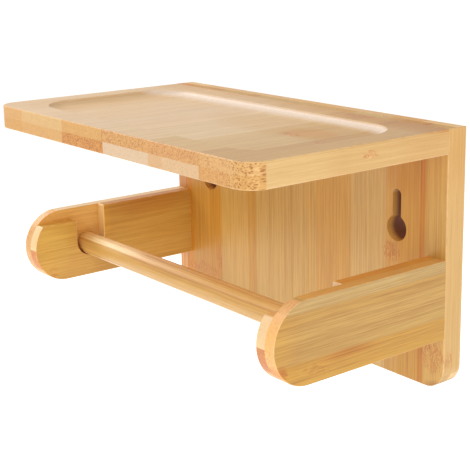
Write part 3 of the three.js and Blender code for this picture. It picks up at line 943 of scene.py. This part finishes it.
bores = joined("bores", [screw_bore(n) for n in SCREWS] + [dowel_bore(n) for n in DOWELS])


# Back board: (u, v, height) is (x, z, distance in front of the wall)

def board_place(u, v, height):
    return (u, -height, min(v, BOARD_TOP))


def slot_cutter(x):
    """The void for a wall screw's shank, above the round hole."""
    half = KEYHOLE_SLOT_HALF_WIDTH
    outline = arc((x, KEYHOLE_SLOT_TOP_Z - half), half, 0, math.pi)
    outline += [(x - half, KEYHOLE_ROUND_Z), (x + half, KEYHOLE_ROUND_Z)]
    heights = (-OVERRUN, OVERRUN - BOARD_FRONT_Y)
    return loft("slot", [[(u, -height, v) for u, v in outline] for height in heights])


def round_cutter(x):
    """The void for a wall screw's head, which narrows towards the wall."""
    narrowing = (KEYHOLE_ROUND_RADIUS - KEYHOLE_WALL_RADIUS) / -BOARD_FRONT_Y
    profile = [
        (KEYHOLE_WALL_RADIUS - narrowing * OVERRUN, -OVERRUN),
        (KEYHOLE_ROUND_RADIUS + narrowing * OVERRUN, OVERRUN - BOARD_FRONT_Y),
    ]
    return lathe("round", profile, ROUND_SIDES, lambda u, v, height: (x + u, -height, KEYHOLE_ROUND_Z + v))


def mark_bore_walls(piece):
    """A face value of 1 on the keyholes' walls, which lean a little as they narrow."""

    def is_wall(face):
        x, _, z = face.center
        beside = abs(abs(x) - KEYHOLE_X) < KEYHOLE_ROUND_RADIUS + OVERRUN
        square = abs(face.normal.y) < NEARLY_SQUARE_TO_AXIS
        return square and beside and 0 < z < KEYHOLE_SLOT_TOP_Z + OVERRUN

    mark_faces(piece, "bore_wall", is_wall)


def build_board():
    above = BOARD_TOP + OVERRUN
    outline = rounded_rectangle(WIDTH / 2, BOARD_BOTTOM, above, BOARD_CORNER_RADIUS, CRISP_CORNER)
    slots = joined("slots", [slot_cutter(-KEYHOLE_X), slot_cutter(KEYHOLE_X)])
    rounds = joined("rounds", [round_cutter(-KEYHOLE_X), round_cutter(KEYHOLE_X)])
    for node, material, eased_low, eased_high in (
        ("back_board_rear_ply", board_rear_bamboo(), EASED_EDGE, GLUE_ARRIS),
        ("back_board_front_ply", board_front_bamboo(), GLUE_ARRIS, EASED_EDGE),
    ):
        low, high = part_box(node)
        profile = glued_profile(-high.y, -low.y, eased_low, eased_high)
        piece = panel("fine_" + node, outline, profile, board_place)
        for cutter in (slots, rounds, bores):
            cut(piece, cutter)
        mark_bore_walls(piece)
        mark_wear_and_highlight(piece, 1, high.y if eased_low > eased_high else low.y)
        hand_in(piece, node, material)
    bpy.data.objects.remove(slots)
    bpy.data.objects.remove(rounds)


# Shelf: (u, v, height) is (x, y, z)

def shelf_place(u, v, height):
    return (u, min(v, SHELF_REAR_Y), height)


def tray_cutter():
    """The tray's void: a rounded rim, then a quarter-ellipse cove down to the flat floor."""
    rear = SHELF_REAR_Y - TRAY_REAR_MARGIN
    radius = TRAY_CORNER_RADIUS
    outline = rounded_rectangle(TRAY_HALF_WIDTH, rear - TRAY_DEPTH, rear, radius, radius)
    top, width, ease = BOARD_TOP, TRAY_COVE_WIDTH, RIM_EASE
    cove = [(width * (1 - math.sin(a)), top - TRAY_SINK * math.cos(a)) for a in quarter_turn(COVE_STEPS)]
    rim = [(-ease * (1 - math.cos(a)), top - ease * (1 - math.sin(a))) for a in quarter_turn(EASE_STEPS)]
    profile = cove[:-1] + rim + [(-ease, top + OVERRUN)]
    return panel("tray", outline, profile, lambda u, v, height: (u, v, height))


def mark_cove(piece):
    """A face value of 1 on the tray's cove and rim: faces above its floor that aren't quite level."""

    def is_cove(face):
        x, y, z = face.center
        inside = abs(x) < TRAY_HALF_WIDTH + RIM_EASE and abs(y - TRAY_MIDDLE_Y) < TRAY_DEPTH / 2 + RIM_EASE
        return inside and z > BOARD_TOP - COVE_FOOT and face.normal.z < LEVEL

    mark_faces(piece, "cove", is_cove)


def build_shelf():
    behind = SHELF_REAR_Y + OVERRUN
    outline = rounded_rectangle(WIDTH / 2, SHELF_FRONT_Y, behind, SHELF_CORNER_RADIUS, CRISP_CORNER)
    tray = tray_cutter()
    for node, material, eased_low, eased_high in (
        ("shelf_lower_ply", shelf_lower_bamboo(), EASED_EDGE, GLUE_ARRIS),
        ("shelf_upper_ply", shelf_upper_bamboo(), GLUE_ARRIS, EASED_EDGE),
    ):
        low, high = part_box(node)
        profile = glued_profile(low.z, high.z, eased_low, eased_high)
        piece = panel("fine_" + node, outline, profile, shelf_place)
        if node == "shelf_upper_ply":
            cut(piece, tray)
            mark_cove(piece)
        cut(piece, bores)
        mark_wear_and_highlight(piece, 2, low.z if eased_low > eased_high else high.z)
        hand_in(piece, node, material)
    bpy.data.objects.remove(tray)


# Arms: (u, v, height) is (distance in front of the board, z, x)

def arm_place(u, v, height):
    return (height, ARM_REAR_Y - max(u, 0), v)


ARM_BUTT = [(-OVERRUN, ARM_TOP_Z), (-OVERRUN, ARM_BOTTOM_Z)]


def outer_arm_outline():
    nose = arc((ARM_NOSE_CENTRE, ARM_MIDDLE_Z), ARM_NOSE_RADIUS, -math.pi / 2, math.pi / 2)
    return nose + ARM_BUTT


def inner_arm_outline():
    """The arm's outline with the roller slot, and with the hook's top below the arm's."""
    slot_radius = SLOT_WIDTH / 2
    slot_front = SLOT_CENTRE_FROM_BOARD + slot_radius
    slot_rear = SLOT_CENTRE_FROM_BOARD - slot_radius
    hook_top = ARM_TOP_Z - HOOK_DROP
    nose_end = math.asin((hook_top - ARM_MIDDLE_Z) / ARM_NOSE_RADIUS)
    hook_front = ARM_NOSE_CENTRE + ARM_NOSE_RADIUS * math.cos(nose_end)
    turn = CRISP_CORNER
    nose_end -= turn / ARM_NOSE_RADIUS
    nose = arc((ARM_NOSE_CENTRE, ARM_MIDDLE_Z), ARM_NOSE_RADIUS, -math.pi / 2, nose_end)
    front_corner = soft_corner(nose[-1], (hook_front, hook_top), (hook_front - turn, hook_top))
    hook_corner = arc((slot_front + turn, hook_top - turn), turn, math.pi / 2, math.pi)
    floor = arc((SLOT_CENTRE_FROM_BOARD, SLOT_FLOOR_Z + slot_radius), slot_radius, 0, -math.pi)
    rear_corner = arc((slot_rear - turn, ARM_TOP_Z - turn), turn, 0, math.pi / 2)
    return nose + front_corner + hook_corner + floor + rear_corner + ARM_BUTT


def build_arms():
    for node, material, outline, outer_is_low in (
        ("left_arm_outer_ply", left_outer_bamboo(), outer_arm_outline(), True),
        ("left_arm_inner_ply", left_inner_bamboo(), inner_arm_outline(), False),
        ("right_arm_inner_ply", right_inner_bamboo(), inner_arm_outline(), True),
        ("right_arm_outer_ply", right_outer_bamboo(), outer_arm_outline(), False),
    ):
        low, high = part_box(node)
        eases = (EASED_EDGE, GLUE_ARRIS) if outer_is_low else (GLUE_ARRIS, EASED_EDGE)
        piece = panel("fine_" + node, outline, glued_profile(low.x, high.x, *eases), arm_place)
        cut(piece, bores)
        mark_wear_and_highlight(piece, 0, low.x if outer_is_low else high.x)
        hand_in(piece, node, material)


# Roller: a sanded rod, so its radius wanders by a few hundredths of a millimetre

def build_roller():
    low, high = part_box("roller")
    axis = (low + high) / 2
    radius = (high.z - low.z) / 2
    length = high.x - low.x
    ease = ROLLER_EASED_END
    straight = length - 2 * ease
    quarter = quarter_turn(ROLLER_END_STEPS)
    start = [(ease * (1 - math.cos(a)), radius - ease * (1 - math.sin(a))) for a in quarter]
    body = [(ease + straight * i / ROLLER_LENGTHS, radius) for i in range(1, ROLLER_LENGTHS)]
    end = [(length - depth, r) for depth, r in reversed(start)]
    rings = []
    for x, r in start + body + end:
        ring = []
        for a in full_turn(ROUND_SIDES):
            wander = sum(math.sin(round_it * a + along * x + lag) for round_it, along, lag in ROLLER_WAVES)
            reach = r - ROLLER_SANDED + ROLLER_WANDER * wander
            ring.append((low.x + x, axis.y + reach * math.cos(a), axis.z + reach * math.sin(a)))
        rings.append(ring)
    piece = loft("fine_roller", rings)

    # The roller's eased ends get wear and a painted highlight.
    def is_worn_or_lit(face):
        near = min(face.center.x - low.x, high.x - face.center.x)
        return END_FACE_REACH < near < ROLLER_EASED_END

    mark_faces(piece, "edge_wear_and_highlight", is_worn_or_lit)
    hand_in(piece, "roller", roller_bamboo())


# Fixings

def thread_radius(depth, angle):
    """The screw's radius at a depth below its head and an angle round it, with a helical ridge."""
    if depth < SCREW_SHANK_END:
        return SCREW_SHANK_RADIUS
    from_ridge = abs((depth - SCREW_PITCH * angle / (2 * math.pi)) % SCREW_PITCH - SCREW_PITCH / 2)
    ridge = max(0.0, 1 - from_ridge / THREAD_RIDGE_HALF_WIDTH)
    taper = min(1.0, (SCREW_LENGTH - depth) / THREAD_TAPER)
    run_in = min(1.0, (depth - SCREW_SHANK_END) / SCREW_PITCH)
    thread = SCREW_CORE_RADIUS + ridge * run_in * (SCREW_THREAD_RADIUS - SCREW_CORE_RADIUS)
    return taper * thread + THREAD_POINT_RADIUS


def recess_cutters():
    """The two blades of a cross-shaped driver recess that narrows towards its bottom."""
    length, width = DRIVE_RECESS_LENGTH, DRIVE_RECESS_WIDTH
    narrowest = 0.75 * width
    # Each section's share of the full size, and its place along Y
    sections = ((0.42, -DRIVE_RECESS_DEPTH), (1.0, 0.0), (1.25, RECESS_OVERRUN))
    blades = []
    for along, across in ((length, width), (width, length)):
        rings = []
        for share, y in sections:
            u = max(along * share, narrowest) / 2
            v = max(across * share, narrowest) / 2
            rings.append([(-u, y, -v), (u, y, -v), (u, y, v), (-u, y, v)])
        blades.append(loft("blade", rings))
    return blades


def build_screw(node, material):
    """A countersunk wood screw, from its point up."""
    step = SCREW_PITCH / RINGS_PER_THREAD_TURN
    rows = [SCREW_LENGTH - SCREW_POINT_GAP]
    while rows[-1] - step > SCREW_HEAD_HEIGHT:
        rows.append(rows[-1] - step)
    soft = SCREW_SOFT_EDGE
    head = [
        (SCREW_SHANK_RADIUS, SCREW_HEAD_HEIGHT),
        (SCREW_HEAD_RADIUS - soft, SCREW_HEAD_RIM + soft),
        (SCREW_HEAD_RADIUS, SCREW_HEAD_RIM),
        (SCREW_HEAD_RADIUS, soft),
        (SCREW_HEAD_RADIUS - 0.3 * soft, 0.3 * soft),
        (SCREW_HEAD_RADIUS - soft, 0.0),
    ]
    turn = full_turn(SCREW_SIDES)
    shaft = [([thread_radius(depth, a) for a in turn], depth) for depth in rows]
    rings = []
    for radii, depth in shaft + [([radius] * SCREW_SIDES, depth) for radius, depth in head]:
        rings.append([(r * math.cos(a), -depth, r * math.sin(a)) for r, a in zip(radii, turn)])
    piece = loft("fine_" + node, rings)
    for blade in recess_cutters():
        cut(piece, blade)
        bpy.data.objects.remove(blade)
    centre = middle(node)
    piece.data.transform(Matrix.Translation((centre.x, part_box(node)[1].y, centre.z)))
    hand_in(piece, node, material)


def build_dowel(node, material):
    """A fluted pin with chamfered ends."""
    low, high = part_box(node)
    centre = middle(node)
    chamfer = DOWEL_CHAMFER
    stations = [(low.y, chamfer), (low.y + chamfer, 0), (high.y - chamfer, 0), (high.y, chamfer)]
    rings = []
    for y, drop in stations:
        ring = []
        for a in full_turn(ROUND_SIDES):
            r = DOWEL_RADIUS - drop - FLUTE_DEPTH * (0.5 + 0.5 * math.cos(FLUTES * a))
            ring.append((centre.x + r * math.cos(a), y, centre.z + r * math.sin(a)))
        rings.append(ring)
    hand_in(loft("fine_" + node, rings), node, material)


def build_fixings():
    steel = zinc_steel()
    wood = dowel_wood()
    for node in SCREWS:
        build_screw(node, steel)
    for node in DOWELS:
        build_dowel(node, wood)


# Floor, light and camera

FLOOR_Z = -0.32
FLOOR_REACH = 12
FLOOR_TONES = ((0.94, 0.94, 0.93, 1), (0.97, 0.97, 0.96, 1))
FLOOR_GLOW = 0.5
SKY_COLOUR = (1.0, 0.985, 0.965, 1)
SKY_STRENGTH = 0.58
BACKDROP_STRENGTH = 1.1

# Softboxes: name, place, size, watts and colour
SOFTBOXES = [
    ("key", (0.94, -0.62, 0.72), (1.1, 0.9), 6.5, (1.0, 0.985, 0.96)),
    ("left", (-1.0, -0.33, 0.80), (0.9, 0.6), 9, (1.0, 0.98, 0.96)),
    ("rear", (-0.95, 0.66, 0.30), (0.9, 0.5), 0.4, (1.0, 0.97, 0.95)),
]


def build_floor():
    bm = bmesh.new()
    corners = [(-1, -1), (1, -1), (1, 1), (-1, 1)]
    bm.faces.new([bm.verts.new((FLOOR_REACH * x, FLOOR_REACH * y, FLOOR_Z)) for x, y in corners])
    floor = new_object("floor", bm)
    material, t = new_material("pale_floor")
    place = t.node("ShaderNodeTexCoord").outputs["Object"]
    grain = t.noise(place, (40.0, 40.0, 40.0), 4.0)
    colour = t.mix(grain, *FLOOR_TONES)
    finish_material(t, colour, 0.9, grain, 0.1 * MM, specular_ior_level=0.0, emission_strength=FLOOR_GLOW)
    floor.data.materials.append(material)


def build_world():
    """White behind the object, and a softer white as its light."""
    world = bpy.data.worlds.new("studio")
    bpy.context.scene.world = world
    world.use_nodes = True
    world.node_tree.nodes.clear()
    t = Tree(world.node_tree)
    seen = t.node("ShaderNodeLightPath").outputs["Is Camera Ray"]
    light = t.node("ShaderNodeBackground", {"Color": SKY_COLOUR, "Strength": SKY_STRENGTH})
    backdrop = t.node("ShaderNodeBackground", {"Color": (1, 1, 1, 1), "Strength": BACKDROP_STRENGTH})
    either = t.node("ShaderNodeMixShader", {0: seen, 1: light.outputs[0], 2: backdrop.outputs[0]})
    output = t.node("ShaderNodeOutputWorld")
    t.tree.links.new(either.outputs[0], output.inputs[0])


def softbox(name, place, size, power, colour):
    """An area light that points at the middle of the object and isn't seen itself."""
    target = (cad_low + cad_high) / 2
    data = bpy.data.lights.new(name, "AREA")
    data.shape = "RECTANGLE"
    data.size, data.size_y = size
    data.energy = power
    data.color = colour
    lamp = bpy.data.objects.new(name, data)
    lamp.location = place
    lamp.rotation_euler = (target - Vector(place)).to_track_quat("-Z", "Y").to_euler()
    lamp.visible_camera = False
    bpy.context.scene.collection.objects.link(lamp)


# The camera looks at the object from its right and a little above
CAMERA_PLACE = (0.44446, -0.39363, 0.15083)
CAMERA_AZIMUTH = math.radians(50.9887)
CAMERA_ELEVATION = math.radians(12.7733)
CAMERA_ROLL = math.radians(-0.6732)
CAMERA_LENS = 88.557
CAMERA_SENSOR = 36
CAMERA_SHIFT = (-0.0574, -0.1)


def build_camera():
    data = bpy.data.cameras.new("camera")
    data.lens = CAMERA_LENS
    data.sensor_width = CAMERA_SENSOR
    data.shift_x, data.shift_y = CAMERA_SHIFT
    data.clip_start = 0.01
    camera = bpy.data.objects.new("camera", data)
    back = Vector((
        math.sin(CAMERA_AZIMUTH) * math.cos(CAMERA_ELEVATION),
        -math.cos(CAMERA_AZIMUTH) * math.cos(CAMERA_ELEVATION),
        math.sin(CAMERA_ELEVATION),
    ))
    right = Vector((0, 0, 1)).cross(back).normalized()
    turned = Matrix((right, back.cross(right), back)).transposed() @ Matrix.Rotation(CAMERA_ROLL, 3, "Z")
    camera.matrix_world = Matrix.Translation(CAMERA_PLACE) @ turned.to_4x4()
    bpy.context.scene.collection.objects.link(camera)
    bpy.context.scene.camera = camera
    bpy.context.scene.view_settings.view_transform = "Standard"


build_camera()
build_world()
for box in SOFTBOXES:
    softbox(*box)
build_floor()
build_board()
build_shelf()
build_arms()
build_roller()
build_fixings()
bpy.data.objects.remove(bores)
